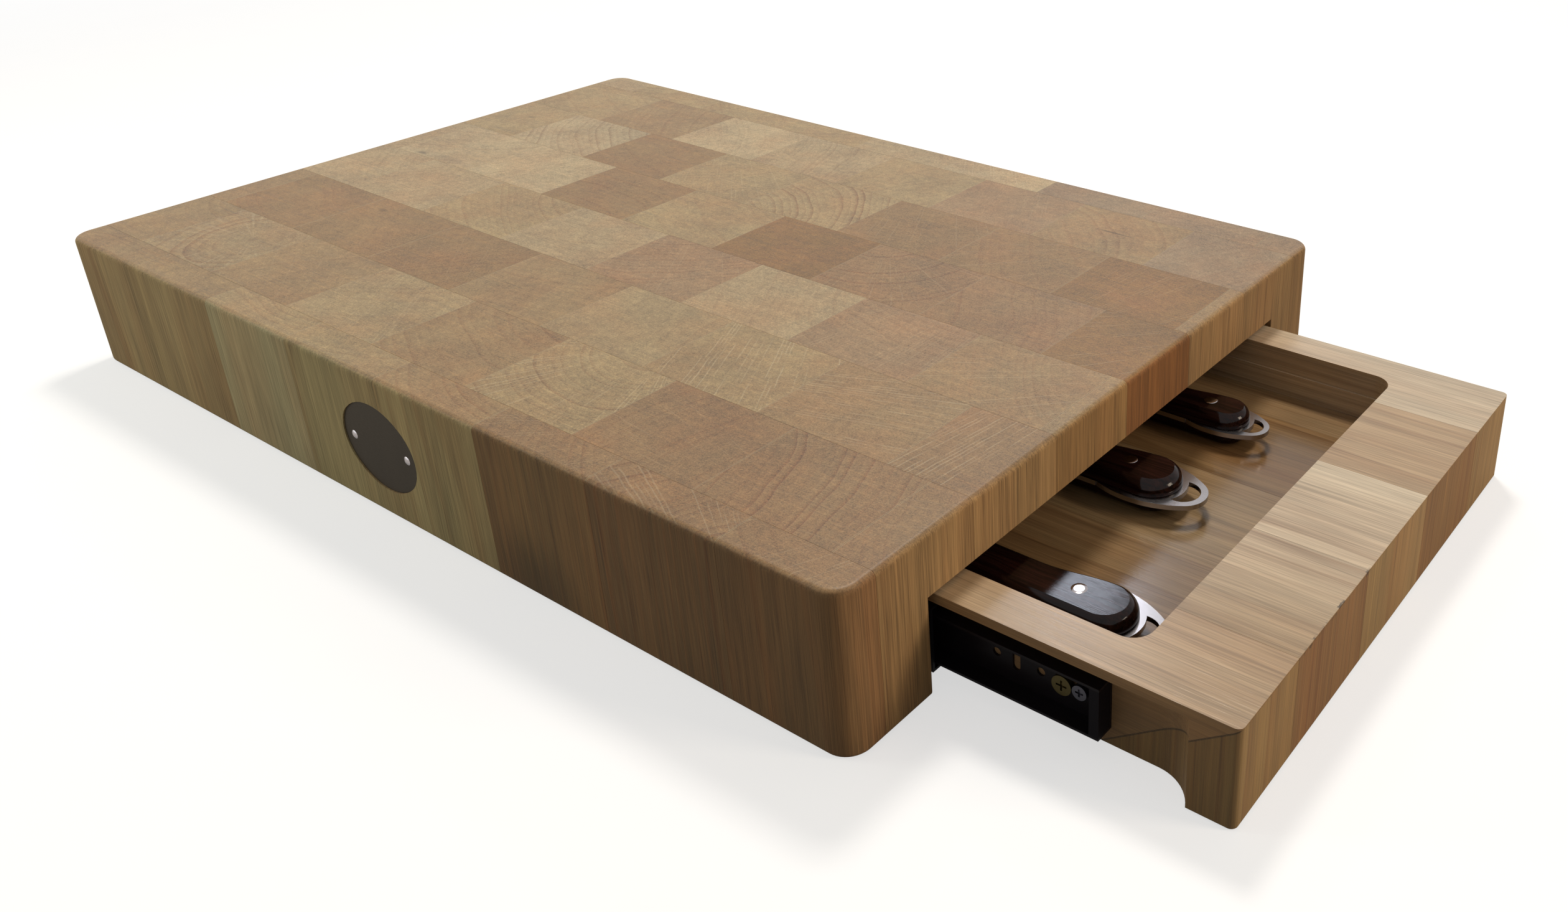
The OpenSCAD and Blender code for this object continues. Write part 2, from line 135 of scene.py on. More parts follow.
class Kit:
    """Builds one material's nodes."""

    def __init__(self, name):
        self.material = bpy.data.materials.new(name)
        self.material.use_nodes = True
        self.tree = self.material.node_tree
        self.tree.nodes.clear()
        self.end = self.tree.nodes.new("ShaderNodeOutputMaterial")

    def put(self, socket, value):
        """Links a shader output to a socket, or sets the socket to a number or colour."""
        if isinstance(value, Value):
            self.tree.links.new(value.out, socket)
        elif hasattr(value, "__len__") and len(value) == 3 and socket.type == "RGBA":
            socket.default_value = (*value, 1.0)
        else:
            socket.default_value = value

    def split(self, vector):
        node = self.tree.nodes.new("ShaderNodeSeparateXYZ")
        self.tree.links.new(vector, node.inputs[0])
        return [Value(self, out) for out in node.outputs]

    def place(self):
        """x, y and z in millimetres, fixed to the piece."""
        coordinates = self.tree.nodes.new("ShaderNodeTexCoord")
        return [part * 1000.0 for part in self.split(coordinates.outputs["Object"])]

    def facing(self, axis):
        """How squarely the surface faces along an axis, 0 to 1."""
        geometry = self.tree.nodes.new("ShaderNodeNewGeometry")
        return self.split(geometry.outputs["Normal"])["XYZ".index(axis)].abs()

    def square_to(self, axis):
        """1 on the faces square to an axis, 0 on the others."""
        return self.facing(axis).ease(0.55, 0.9)

    def number(self, value):
        node = self.tree.nodes.new("ShaderNodeValue")
        node.outputs[0].default_value = value
        return Value(self, node.outputs[0])

    def vector(self, x, y, z):
        node = self.tree.nodes.new("ShaderNodeCombineXYZ")
        for socket, value in zip(node.inputs, (x, y, z)):
            self.put(socket, value)
        return Value(self, node.outputs[0])

    def noise(self, vector, scale=1.0, detail=2.0, rough=0.5):
        node = self.tree.nodes.new("ShaderNodeTexNoise")
        self.put(node.inputs["Vector"], vector)
        node.inputs["Scale"].default_value = scale
        node.inputs["Detail"].default_value = detail
        node.inputs["Roughness"].default_value = rough
        return Value(self, node.outputs[0])

    def chance(self, value):
        """A number from 0 to 1 that depends on value alone."""
        node = self.tree.nodes.new("ShaderNodeTexWhiteNoise")
        node.noise_dimensions = "1D"
        self.put(node.inputs["W"], value)
        return Value(self, node.outputs["Value"])

    def steps(self, where, colours):
        """Picks one of the colours by a whole number."""
        node = self.tree.nodes.new("ShaderNodeValToRGB")
        ramp = node.color_ramp
        ramp.interpolation = "CONSTANT"
        while len(ramp.elements) < len(colours):
            ramp.elements.new(0.5)
        for k, colour in enumerate(colours):
            ramp.elements[k].position = k / len(colours)
            ramp.elements[k].color = (*colour, 1.0)
        self.put(node.inputs[0], (where + 0.5) / len(colours))
        return Value(self, node.outputs[0])

    def parts(self, colour):
        node = self.tree.nodes.new("ShaderNodeSeparateColor")
        self.put(node.inputs[0], colour)
        return [Value(self, out) for out in node.outputs]

    def mix(self, share, a, b, kind="MIX"):
        node = self.tree.nodes.new("ShaderNodeMix")
        node.data_type = "RGBA"
        node.blend_type = kind
        self.put(node.inputs[0], share)
        self.put(node.inputs[6], a)
        self.put(node.inputs[7], b)
        return Value(self, node.outputs[2])

    def tint(self, share, colour, filter_colour):
        """colour seen through filter_colour, as far as share goes."""
        return self.mix(share, colour, self.mix(1.0, colour, filter_colour, "MULTIPLY"))

    def shade(self, colour, factor):
        """colour times a number."""
        node = self.tree.nodes.new("ShaderNodeVectorMath")
        node.operation = "SCALE"
        self.put(node.inputs[0], colour)
        self.put(node.inputs["Scale"], factor)
        return Value(self, node.outputs[0])

    def bump(self, height, strength, distance):
        node = self.tree.nodes.new("ShaderNodeBump")
        node.inputs["Strength"].default_value = strength
        node.inputs["Distance"].default_value = distance
        self.put(node.inputs["Height"], height)
        return Value(self, node.outputs[0])

    def finish(self, **sockets):
        """Sets the principled shader's sockets, spaces written as underscores."""
        shader = self.tree.nodes.new("ShaderNodeBsdfPrincipled")
        for name, value in sockets.items():
            self.put(shader.inputs[name.replace("_", " ")], value)
        self.tree.links.new(shader.outputs[0], self.end.inputs[0])
        return self.material


def srgb(*levels):
    """A colour written as 0 to 255 on screen, as the shader wants it."""

    def one(v):
        v /= 255
        return v / 12.92 if v <= 0.04045 else ((v + 0.055) / 1.055) ** 2.4

    return tuple(one(v) for v in levels)


# ---------------------------------------------------------------- wood
TONES = {
    "pale": srgb(178, 157, 121),
    "cream": srgb(171, 149, 113),
    "light": srgb(163, 140, 101),
    "olive": srgb(160, 138, 101),
    "tan": srgb(153, 127, 89),
    "pink": srgb(155, 127, 93),
    "bark": srgb(144, 115, 79),
    "brown": srgb(144, 115, 76),
    "rust": srgb(133, 101, 58),
    "grey": srgb(150, 127, 98),
    "rim": srgb(183, 158, 126),
    "fawn": srgb(172, 146, 113),
    "milk": srgb(212, 195, 169),
    "oat": srgb(204, 186, 160),
}
SIDE_TONES = {
    "wheat": srgb(160, 138, 98),
    "straw": srgb(176, 163, 125),
    "hazel": srgb(167, 151, 109),
    "amber": srgb(168, 134, 90),
    "honey": srgb(162, 126, 80),
    "chestnut": srgb(148, 100, 56),
    "umber": srgb(124, 98, 64),
    "cocoa": srgb(116, 90, 60),
}
RUDDY = srgb(160, 108, 66)
RAY = srgb(208, 190, 156)
RAY_SPACING = 2.0  # at the piece's middle
WOOD_BUMP = (0.12, 0.0004)  # strength, and distance in metres
FAR = 400.0  # the widest reach of a heart from its piece, for packing into a ramp


def wood_colour(kit, tone, along, u, v, seed, pith_u, pith_v, rings, rays, end,
                pitch=4.2, fine=1.0):
    """Solid wood whose heart runs along one axis at (pith_u, pith_v). end is 1
    on cut ends, where the rays show, and fine scales the small marks.
    Gives the colour and the height for the bump."""

    def field(across, length, offset, detail, rough=0.5):
        """Noise drawn out along the wood."""
        place = kit.vector(u * across, v * across, along * length + offset)
        return kit.noise(place, 1.0, detail, rough)

    wave = field(0.018, 0.004, seed, 1.0)
    ripple = field(0.09, 0.010, seed, 2.0)
    du = u - pith_u
    dv = v - pith_v
    radius = (du * du + dv * dv).sqrt()
    ring = (radius + wave * 15.0 + ripple * 1.6) / pitch
    inside = ring.fract()
    strong = kit.chance(ring.floor() + seed * 7.0)
    late = (inside.power(3.0) * (1.0 - inside.ease(0.88, 1.0))
            * (strong * strong * 0.85 + 0.15) * 1.6)
    early = (1.0 - inside).power(5.0) * strong * 0.5
    # broad patches of lighter and darker, redder and greener wood
    patch = field(0.028, 0.006, seed * 3.0, 3.0, 0.6)
    hue = kit.noise(kit.vector(u * 0.028 + 9.0, v * 0.028, along * 0.004 + seed * 5.0),
                    1.0, 3.0, 0.6)
    # marks of every face, then the long grain of the uncut ones
    fibre = field(0.9, 0.012, seed, 3.0, 0.7)
    pore = field(2.2, 0.03, seed, 2.0, 0.7)
    fleck = field(0.25, 0.008, seed, 4.0, 0.75)
    figure = field(0.28, 0.005, seed, 3.0, 0.6)
    line_grain = field(1.1, 0.010, seed * 2.0, 3.0, 0.7)
    bright = patch.swing(0.66) + 1.0 - late * rings * 0.24 + early * rings * 0.17
    marks = (fibre.swing(1.05) + fleck.swing(0.92) + pore.swing(1.50)
             - pore.ease(0.58, 0.76) * 0.16)
    grain = figure.swing(0.38) + line_grain.swing(0.60) - line_grain.ease(0.60, 0.72) * 0.10
    bright = bright + marks * fine + grain * (1.0 - end)
    # medullary rays, pale hairlines that point to the heart
    reach = (pith_u * pith_u + pith_v * pith_v).sqrt()
    turn = (dv.atan2(du) * (reach + 1.0) + ripple.swing(1.2)) / RAY_SPACING
    cell = turn.floor()
    line = 1.0 - (turn.fract() - 0.5).abs().ease(0.05, 0.24)
    pick = kit.chance(cell + seed * 13.0).ease(0.35, 0.95)
    broken = kit.noise(kit.vector(radius * 0.045, cell * 3.7, seed), 1.0, 1.0).ease(0.38, 0.56)
    ray = line * pick * broken * rays * end
    ruddy = (hue - 0.40).max(0.0) * 0.9 + late * rings * 0.35
    colour = kit.mix(ruddy, kit.shade(tone, bright), kit.shade(RUDDY, bright))
    colour = kit.mix(ray * 0.38, colour, RAY)
    height = fibre * 0.6 + late * rings * 0.4 - pore.ease(0.6, 0.8) * 0.5
    return colour, height


def planed(kit, colour, along, across, seed, share):
    """Fine tool streaks that run along one axis of a flat face."""
    wide = kit.noise(kit.vector(along * 0.010, across * 0.35, seed), 1.0, 3.0, 0.7)
    thin = kit.noise(kit.vector(along * 0.020, across * 1.3, seed + 4.0), 1.0, 2.0, 0.7)
    streak = (wide.swing(0.20) + thin.swing(0.65)) * share
    return kit.shade(colour, streak + 1.0), thin


def tones(kit, index, pieces, item=0):
    """The tone that each piece has as one of its items."""
    return kit.steps(index, [TONES[piece[item]] for piece in pieces])


def heart(kit, index, pieces):
    """Where each piece's heart lies, in two directions, and how strong its rings are."""
    packed = [(0.5 + piece[1] / FAR / 2, 0.5 + piece[2] / FAR / 2, piece[3] / 2)
              for piece in pieces]
    shares = kit.parts(kit.steps(index, packed))
    return (shares[0] - 0.5) * (FAR * 2), (shares[1] - 0.5) * (FAR * 2), shares[2] * 2.0


# One row of staves: where its first joint lies from the block's far end, where
# its middle lies along Y, and for each stave, from the far end to the drawer's
# end, its tone, where its heart lies from the stave's middle, and how strong
# its rings and its rays show.
PITCH = 76.2
FAR_END = -368.0
ROWS = {
    "block_row_1": (79, -190, [
        ("tan", 30, -200, 0.5, 0.1), ("tan", -40, 160, 0.5, 0.1), ("light", 10, 190, 0.4, 0.2),
        ("light", -60, 150, 0.4, 0.2), ("tan", 70, 170, 0.8, 0.3), ("bark", 100, 90, 0.8, 0.3),
        ("bark", 120, -60, 1.2, 0.6), ("bark", 60, 120, 0.6, 0.5),
    ]),
    "block_row_2": (45, -150, [
        ("tan", 60, 90, 0.4, 0.1), ("olive", 12, 8, 0.9, 0.5), ("tan", 140, -120, 0.5, 0.2),
        ("olive", -150, 220, 0.4, 0.4), ("tan", 60, 150, 0.8, 0.2), ("light", 10, 55, 0.9, 0.8),
        ("bark", 150, -30, 0.6, 0.2), ("bark", -105, -40, 1.5, 0.2), ("bark", 150, 90, 0.5, 0.2),
    ]),
    "block_row_3": (21, -91, [
        ("tan", 90, 90, 0.4, 0.1), ("brown", 60, 120, 0.5, 0.1), ("brown", -10, 12, 0.5, 0.1),
        ("brown", 160, -160, 0.6, 0.2), ("tan", -60, 200, 0.4, 0.2), ("olive", 200, 30, 0.3, 0.2),
        ("light", -190, 330, 0.3, 1.0), ("tan", -340, -110, 0.3, 0.9), ("bark", 30, 380, 0.4, 0.9),
    ]),
    "block_row_4": (58, -32, [
        ("cream", 90, 90, 0.3, 0.1), ("cream", -120, 100, 0.3, 0.1), ("light", 90, 130, 0.6, 0.1),
        ("cream", -60, 160, 0.4, 0.1), ("pink", -80, 110, 1.0, 0.3), ("cream", 160, 120, 0.4, 0.2),
        ("pink", 20, 160, 0.6, 0.4), ("tan", 150, 110, 0.4, 0.6), ("tan", 80, 80, 0.4, 0.3),
    ]),
    "block_row_5": (17, 27, [
        ("cream", 80, -90, 0.4, 0.1), ("pale", -70, 140, 0.4, 0.1), ("pale", 140, -90, 0.3, 0.3),
        ("brown", -20, -130, 0.7, 0.2), ("light", 110, 190, 0.3, 0.2),
        ("rust", -120, 160, 0.5, 0.1), ("bark", -36, 34, 1.3, 0.3), ("bark", -150, -80, 0.7, 0.2),
        ("rust", 130, 150, 0.4, 0.4),
    ]),
    "block_row_6": (58, 86, [
        ("light", -50, 60, 0.4, 0.1), ("pale", 100, 90, 0.8, 0.3), ("brown", 60, 170, 0.4, 0.1),
        ("light", -150, 140, 0.5, 0.4), ("light", -56, -60, 1.3, 0.3),
        ("brown", -90, 150, 0.4, 0.3), ("brown", 120, 110, 0.5, 0.4),
        ("rust", -30, -150, 0.6, 0.3), ("tan", 40, 100, 0.4, 0.2),
    ]),
    "block_row_7": (79, 145, [
        ("light", 90, 150, 0.3, 0.1), ("tan", 100, 60, 0.6, 0.1), ("pale", -130, -120, 0.4, 0.2),
        ("cream", -140, -60, 0.7, 0.2), ("light", 160, -110, 0.4, 0.2),
        ("pink", -60, 150, 0.4, 0.3), ("tan", -80, -70, 0.8, 0.3), ("grey", 130, -90, 0.4, 0.2),
    ]),
    "block_row_8": (42, 187, [
        ("cream", 40, -160, 0.3, 0.1), ("light", -80, 140, 0.6, 0.1), ("light", 80, 140, 0.4, 0.1),
        ("light", -60, 160, 0.5, 0.1), ("cream", 100, 120, 0.3, 0.2),
        ("pale", -230, 300, 0.3, 0.8), ("grey", 60, 160, 0.4, 0.2), ("grey", -90, 140, 0.6, 0.2),
        ("grey", 60, 120, 0.4, 0.2),
    ]),
}
# The long grain seen on upright faces. The outer rows have a tone for every
# stave, the others one for the first four staves and one for the rest.
FIRST_STAVES = 4
SIDES = {
    "block_row_1": ["wheat", "wheat", "straw", "hazel", "hazel", "umber", "cocoa", "cocoa"],
    "block_row_2": ["wheat", "amber"],
    "block_row_3": ["hazel", "amber"],
    "block_row_4": ["wheat", "honey"],
    "block_row_5": ["straw", "chestnut"],
    "block_row_6": ["hazel", "amber"],
    "block_row_7": ["wheat", "amber"],
    "block_row_8": ["wheat", "hazel", "wheat", "straw", "wheat", "hazel", "wheat", "straw",
                    "amber"],
}
# How much lighter or darker than its tone each row is painted on the drawer's end,
# as painted light and shade on that face, which begins between these two places along X.
DRAWER_END = (150.0, 200.0)
END_FACE_PAINTED_LIGHT = {
    "block_row_1": 1.42, "block_row_2": 0.97, "block_row_3": 1.0, "block_row_4": 0.84,
    "block_row_5": 0.75, "block_row_6": 0.88, "block_row_7": 0.75, "block_row_8": 0.74,
}
# Small knots on the top and one dark patch low on the near side: middle, reach, depth.
KNOTS = {
    "block_row_1": [((45.0, -200.0, 6.0), (34.0, 30.0, 34.0), 0.55)],
    "block_row_3": [((-253.0, -74.0, 80.0), (4.5, 2.2, 40.0), 0.4)],
    "block_row_5": [((-329.0, 1.5, 80.0), (6.0, 2.6, 40.0), 0.5)],
    "block_row_6": [((-335.0, 92.0, 80.0), (4.5, 2.2, 40.0), 0.4)],
    "block_row_7": [((130.0, 146.0, 80.0), (15.0, 1.1, 40.0), 0.55)],
}


def stave_material(name, start, middle, staves, seed):
    """End-grain staves of one row, upright wood with its cut ends on top."""
    kit = Kit("stave_wood_" + name[-1])
    x, y, z = kit.place()
    first = FAR_END + start - PITCH
    where = (x - first) / PITCH
    index = where.floor().max(0.0)
    end = kit.square_to("Z")
    sides = SIDES[name]
    if len(sides) == 2:
        sides = [sides[0]] * FIRST_STAVES + [sides[1]] * (len(staves) - FIRST_STAVES)
    upright = kit.steps(index, [SIDE_TONES[side] for side in sides])
    tone = kit.mix(end, upright, tones(kit, index, staves))
    pith_u, pith_v, rings = heart(kit, index, staves)
    rays = kit.parts(kit.steps(index, [(stave[4], 0, 0) for stave in staves]))[0]
    own = index + seed * 20.0
    u = x - (index + 0.5) * PITCH - first
    v = y - middle
    pitch = kit.chance(own + 0.5) * 2.4 + 3.8
    colour, height = wood_colour(kit, tone, z, u, v, own, pith_u, pith_v, rings, rays, end,
                                 pitch, 1.05 - (1.0 - end) * 0.05)
    colour = kit.shade(colour, kit.chance(own) * 0.05 + 0.975)
    # painted light and shade on the rows' faces at the drawer's end
    front = (1.0 - end) * kit.square_to("X") * x.ease(*DRAWER_END)
    colour = kit.shade(colour, front * (END_FACE_PAINTED_LIGHT[name] - 1.0) + 1.0)
    colour, streak = planed(kit, colour, x, y, seed * 1.7, end)
    for (kx, ky, kz), (rx, ry, rz), depth in KNOTS.get(name, ()):
        dx, dy, dz = (x - kx) / rx, (y - ky) / ry, (z - kz) / rz
        away = (dx * dx + dy * dy + dz * dz).sqrt() + (height - 0.3) * 0.8
        colour = kit.shade(colour, 1.0 - (1.0 - away.ease(0.2, 1.2)) * depth)
    to_joint = 0.5 - (where.fract() - 0.5).abs()
    joint = 1.0 - to_joint.ease(0.002, 0.008)
    colour = kit.mix(joint * end * 0.30, colour, RAY)
    return kit.finish(
        Base_Color=colour,
        Roughness=(1.0 - end) * 0.32 + 0.46 + streak.swing(0.2),
        Specular_IOR_Level=0.4,
        Normal=kit.bump(height + streak * end * 0.4, *WOOD_BUMP),
    )


for row_number, (row_name, row) in enumerate(ROWS.items(), 1):
    give(row_name, stave_material(row_name, *row, row_number))


# The drawer's strips, side by side across Y: tone of the near edge, heart,
# ring strength, tone of the far edge.
STRIP = 66.0
BOARD_STRIPS = [
    ("rim", 40, -90, 0.6, "rim"), ("fawn", -50, -130, 0.8, "oat"),
    ("milk", 20, -170, 0.5, "milk"), ("rim", -60, -110, 0.7, "rim"),
    ("oat", 60, -120, 0.5, "milk"),
]
FRONT_STRIPS = [
    ("light", 60, 160, 0.7, "light"), ("bark", -70, 120, 0.9, "bark"),
    ("light", 30, 170, 0.6, "cream"), ("bark", 110, 130, 0.9, "bark"),
    ("light", -90, 110, 0.8, "cream"),
]
FRONT_MIDDLE = 330.0  # X from which the front's hearts are measured
STRIP_RING_PITCH = 5.0
STRIP_RAYS = 0.2
# The oiled pocket is painted darker and browner than the rim, as painted shade and
# warm bounce light in the recess; the ledge in its walls stays pale.
POCKET_PAINTED_SHADE = (0.56, 0.46, 0.33)
POCKET_WALL_PAINTED_SHADE = (0.68, 0.63, 0.56)
POCKET_TOP_Z = (44.0, 47.5)
POCKET_SIDE_Y = (126.0, 128.0)
POCKET_FRONT_X = (315.5, 316.5)
LEDGE_Z = (30.0, 33.0)
# The drawer's outer sides are tinted darker and warmer than its top: partly the wood's own tone,
# partly painted shade.
SIDE_GRAIN_AND_SHADE = (0.92, 0.80, 0.62)
# The front's upper arris, where along Y its dark chips are, and the mitre's line.
ARRIS_X, ARRIS_Z = 367.8, 47.2
CHIPS_Y, CHIPS_REACH = -65.0, 36.0
CHIP_COLOUR = (0.03, 0.016, 0.008)
MITRE_X, MITRE_Z = 303.0, 0.8
MITRE_RUN, MITRE_RISE, MITRE_LENGTH = 65.0, 46.6, 80.0
GLUE_COLOUR = (0.012, 0.011, 0.006)


def strip_material(name, strips, along_x, seed):
    """The strips of the drawer's board, with grain along X, or of its front, upright."""
    kit = Kit(name)
    x, y, z = kit.place()
    where = y / STRIP + 2.5
    index = where.floor()
    tone = kit.mix(where.fract(), tones(kit, index, strips), tones(kit, index, strips, 4))
    pith_u, pith_v, rings = heart(kit, index, strips)
    own = index + seed * 20.0
    u = y - (index - 2.0) * STRIP
    along, v = (x, z) if along_x else (z, x - FRONT_MIDDLE)
    end = kit.square_to("X" if along_x else "Z")
    colour, height = wood_colour(kit, tone, along, u, v, own, pith_u, pith_v, rings,
                                 STRIP_RAYS, end, STRIP_RING_PITCH, 0.55 if along_x else 0.6)
    up = kit.square_to("Z")
    colour, streak = planed(kit, colour, x, y, seed * 1.7, up)
    # painted shade on the pocket's floor and walls, then the drawer's outer sides' tint and
    # painted shade
    pocket = ((1.0 - z.ease(*POCKET_TOP_Z)) * (1.0 - y.abs().ease(*POCKET_SIDE_Y))
              * (1.0 - x.ease(*POCKET_FRONT_X)) * (1.0 - up * z.ease(*LEDGE_Z) * 0.9))
    # painted shade: the pocket's floor and walls are darkened and browned
    colour = kit.tint(pocket, colour, kit.mix(up, POCKET_WALL_PAINTED_SHADE, POCKET_PAINTED_SHADE))
    side = (1.0 - up) * (1.0 - pocket)
    colour = kit.tint(side, colour, SIDE_GRAIN_AND_SHADE)
    # painted shade: the outer sides that face along Y are darkened further
    colour = kit.shade(colour, 1.0 - side * kit.facing("Y") * 0.34)
    # dark chips on the front's upper arris
    ragged = kit.noise(kit.vector(x * 0.5, y * 0.5, z * 0.5 + seed), 1.0, 3.0, 0.8)
    chip = kit.noise(kit.vector(0.0, y * 0.11, seed + 2.0), 1.0, 2.0, 0.7).ease(0.50, 0.62)
    chip = chip * (1.0 - ((y - CHIPS_Y) / CHIPS_REACH).abs().ease(0.8, 1.0))
    edge_x, edge_z = x - ARRIS_X, z - ARRIS_Z
    off_edge = (edge_x * edge_x * 1.5 + edge_z * edge_z * 0.5).sqrt() + ragged.swing(2.6)
    chip = chip * (1.0 - off_edge.ease(0.5, 1.1))
    colour = kit.mix(chip * 0.85, colour, CHIP_COLOUR)
    # the dark glue line of the long mitre
    off = ((x - MITRE_X) * MITRE_RISE - (z - MITRE_Z) * MITRE_RUN) / MITRE_LENGTH
    glue = (1.0 - off.abs().ease(0.15, 0.6)) * kit.facing("Y").ease(0.4, 0.8)
    colour = kit.mix(glue * 0.7, colour, GLUE_COLOUR)
    return kit.finish(
        Base_Color=colour,
        Roughness=side * 0.40 + 0.25 - pocket * 0.06 + streak.swing(0.14),
        Normal=kit.bump(height + streak * up * 0.4, *WOOD_BUMP),
    )


give("drawer_board", strip_material("board_wood", BOARD_STRIPS, True, 11))
give("drawer_front", strip_material("front_wood", FRONT_STRIPS, False, 12))


def packer_material():
    """Plain wood with its grain along X, for the packers inside the tunnel."""
    kit = Kit("packer_wood")
    x, y, z = kit.place()
    colour, height = wood_colour(kit, TONES["brown"], x, y, z, 3.0, kit.number(40.0),
                                 kit.number(-60.0), 0.6, 0.1, kit.facing("X"))
    return kit.finish(Base_Color=colour, Roughness=0.6, Normal=kit.bump(height, 0.15, 0.0004))


give("slide_packers", packer_material())


def rosewood():
    """Dark wood with red-brown streaks along X, polished."""
    kit = Kit("scale_wood")
    x, y, z = kit.place()
    wave = kit.noise(kit.vector(x * 0.02, y * 0.06, z * 0.06), 1.0, 2.0)
    streak = kit.noise(kit.vector(x * 0.02, y * 0.55 + wave * 4.0, z * 0.55), 1.0, 4.0, 0.6)
    fine = kit.noise(kit.vector(x * 0.08, y * 3.0, z * 3.0), 1.0, 2.0, 0.6)
    colour = kit.mix(streak.ease(0.35, 0.68), (0.005, 0.002, 0.002), (0.024, 0.008, 0.006))
    colour = kit.mix(fine.ease(0.55, 0.72) * 0.6, colour, (0.004, 0.002, 0.002))
    return kit.finish(
        Base_Color=colour,
        Roughness=fine * 0.06 + 0.06,
        Specular_IOR_Level=0.16,
        Normal=kit.bump(fine, 0.08, 0.0002),
    )


# ---------------------------------------------------------------- metals and plastic
def worn(name, colour, metallic, roughness, spread, grain=0.6, bump=0.05, shine=0.5):
    """Metal or plastic with faint blotches in its tone and gloss."""
    kit = Kit(name)
    x, y, z = kit.place()
    broad = kit.noise(kit.vector(x, y, z), 0.09, 3.0)
    fine = kit.noise(kit.vector(x * 0.3, y, z), grain, 3.0, 0.6)
    return kit.finish(
        Base_Color=kit.shade(colour, broad.swing(spread) + 1.0),
        Metallic=metallic,
        Roughness=fine.swing(spread * 0.6) + roughness,
        Specular_IOR_Level=shine,
        Normal=kit.bump(fine, bump, 0.0002),
    )


# The nodes that share a material, then what worn() is given for it.
METALS = [
    (["drawer_members"],
     ("rail_black", (0.009, 0.007, 0.009), 0.0, 0.36, 0.3), {"bump": 0.1, "shine": 0.14}),
    (["cabinet_members"],
     ("rail_cabinet", (0.006, 0.005, 0.007), 0.0, 0.45, 0.3), {"bump": 0.1, "shine": 0.1}),
    (["middle_members"],
     ("rail_middle", (0.008, 0.008, 0.010), 0.0, 0.40, 0.3), {"bump": 0.1, "shine": 0.15}),
    (["member_stops"],
     ("stop_plastic", (0.006, 0.005, 0.007), 0.0, 0.5, 0.3), {"bump": 0.15, "shine": 0.08}),
    (["yellow_screws", "cabinet_screws"],
     ("yellow_zinc", (0.11, 0.088, 0.036), 1.0, 0.36, 0.35), {"grain": 0.9}),
    (["silver_screws"],
     ("screw_steel", (0.12, 0.12, 0.14), 1.0, 0.34, 0.25), {"grain": 0.9}),
    (["outer_cages", "inner_cages"],
     ("cage_steel", (0.55, 0.55, 0.57), 1.0, 0.35, 0.2), {}),
    (["outer_balls", "inner_balls"],
     ("ball_steel", (0.75, 0.75, 0.77), 1.0, 0.12, 0.1), {}),
    (["plaque_pins"],
     ("pin_metal", (0.72, 0.68, 0.70), 1.0, 0.22, 0.2), {"grain": 1.2}),
    (["plaque"],
     ("plaque_metal", (0.045, 0.033, 0.020), 0.5, 0.55, 0.25), {"grain": 1.5, "bump": 0.12}),
    (["knife_1_blade", "knife_2_blade", "knife_3_blade"],
     ("knife_steel", (0.33, 0.31, 0.31), 1.0, 0.20, 0.15), {"grain": 0.8, "bump": 0.02}),
    (["knife_1_rivets", "knife_2_rivets", "knife_3_rivets"],
     ("rivet_steel", (0.34, 0.31, 0.31), 1.0, 0.14, 0.1), {"grain": 1.2}),
]
for names, look, extra in METALS:
    shared = worn(*look, **extra)
    for node_name in names:
        give(node_name, shared)


# ---------------------------------------------------------------- knife handles
# The rivet is the origin and +x is the tail. KNIVES: the rivet's place and the size.
KNIVES = {
    1: ((270.0, -100.0, 30.0), 1.0),
    2: ((235.0, -3.0, 30.0), 1.0),
    3: ((239.2, 69.0, 30.0), 0.8),
}
HALF_PLATE = 1.25  # half the tang's thickness
FOOT, FOOT_INSET = 0.9, 0.3  # the scale's foot, drawn in where it meets the tang
SCALE_TOP = 7.65
FLANK_R = 7.4
BUTT_X, BUTT_R = 12.0, 14.9
GRIP_BACK = -78.0
BELLY_Y = 9.9
SWELL = 36.0  # the length over which the belly narrows
CORNER = 6.0
BACK = GRIP_BACK + CORNER
STRAIGHT_STEPS, BUTT_STEPS, CORNER_STEPS = 30, 36, 6
RIVET_R = 3.6
RIVET_GAP = 52.0
RIVET_SIDES = 40
RIVET_PROFILE = [  # radius and height, the second point is the shoulder
    (RIVET_R, 0.0), (RIVET_R, 8.86), (RIVET_R - 0.12, 8.935), (RIVET_R * 0.6, 8.945), (0.6, 8.95),
]
BLADE_RIM = 0.9


def handle_outline():
    """Closed plan outline, counter-clockwise."""
    line = []
    for k in range(STRAIGHT_STEPS):  # the straight spine, towards the tail
        line.append((BACK + (BUTT_X - BACK) * k / STRAIGHT_STEPS, -BUTT_R))
    for k in range(BUTT_STEPS + 1):  # round the butt
        a = -math.pi / 2 + math.pi * k / BUTT_STEPS
        line.append((BUTT_X + BUTT_R * math.cos(a), BUTT_R * math.sin(a)))
    for k in range(1, STRAIGHT_STEPS):  # the belly narrows in front of the swell
        x = BUTT_X + (BACK - BUTT_X) * k / STRAIGHT_STEPS
        t = min(1.0, (BUTT_X - x) / SWELL)
        line.append((x, BUTT_R + (BELLY_Y - BUTT_R) * t * t * (3.0 - 2.0 * t)))
    for corner_y, start in ((BELLY_Y - CORNER, 90), (CORNER - BUTT_R, 180)):
        for k in range(CORNER_STEPS + 1):
            a = math.radians(start + 90 * k / CORNER_STEPS)
            line.append((BACK + CORNER * math.cos(a), corner_y + CORNER * math.sin(a)))
    return line


def inset(line, depth):
    """The outline moved inwards."""
    out = []
    for k, (x, y) in enumerate(line):
        (x0, y0), (x1, y1) = line[k - 1], line[(k + 1) % len(line)]
        dx, dy = x1 - x0, y1 - y0
        length = math.hypot(dx, dy)
        out.append((x - dy / length * depth, y + dx / length * depth))
    return out


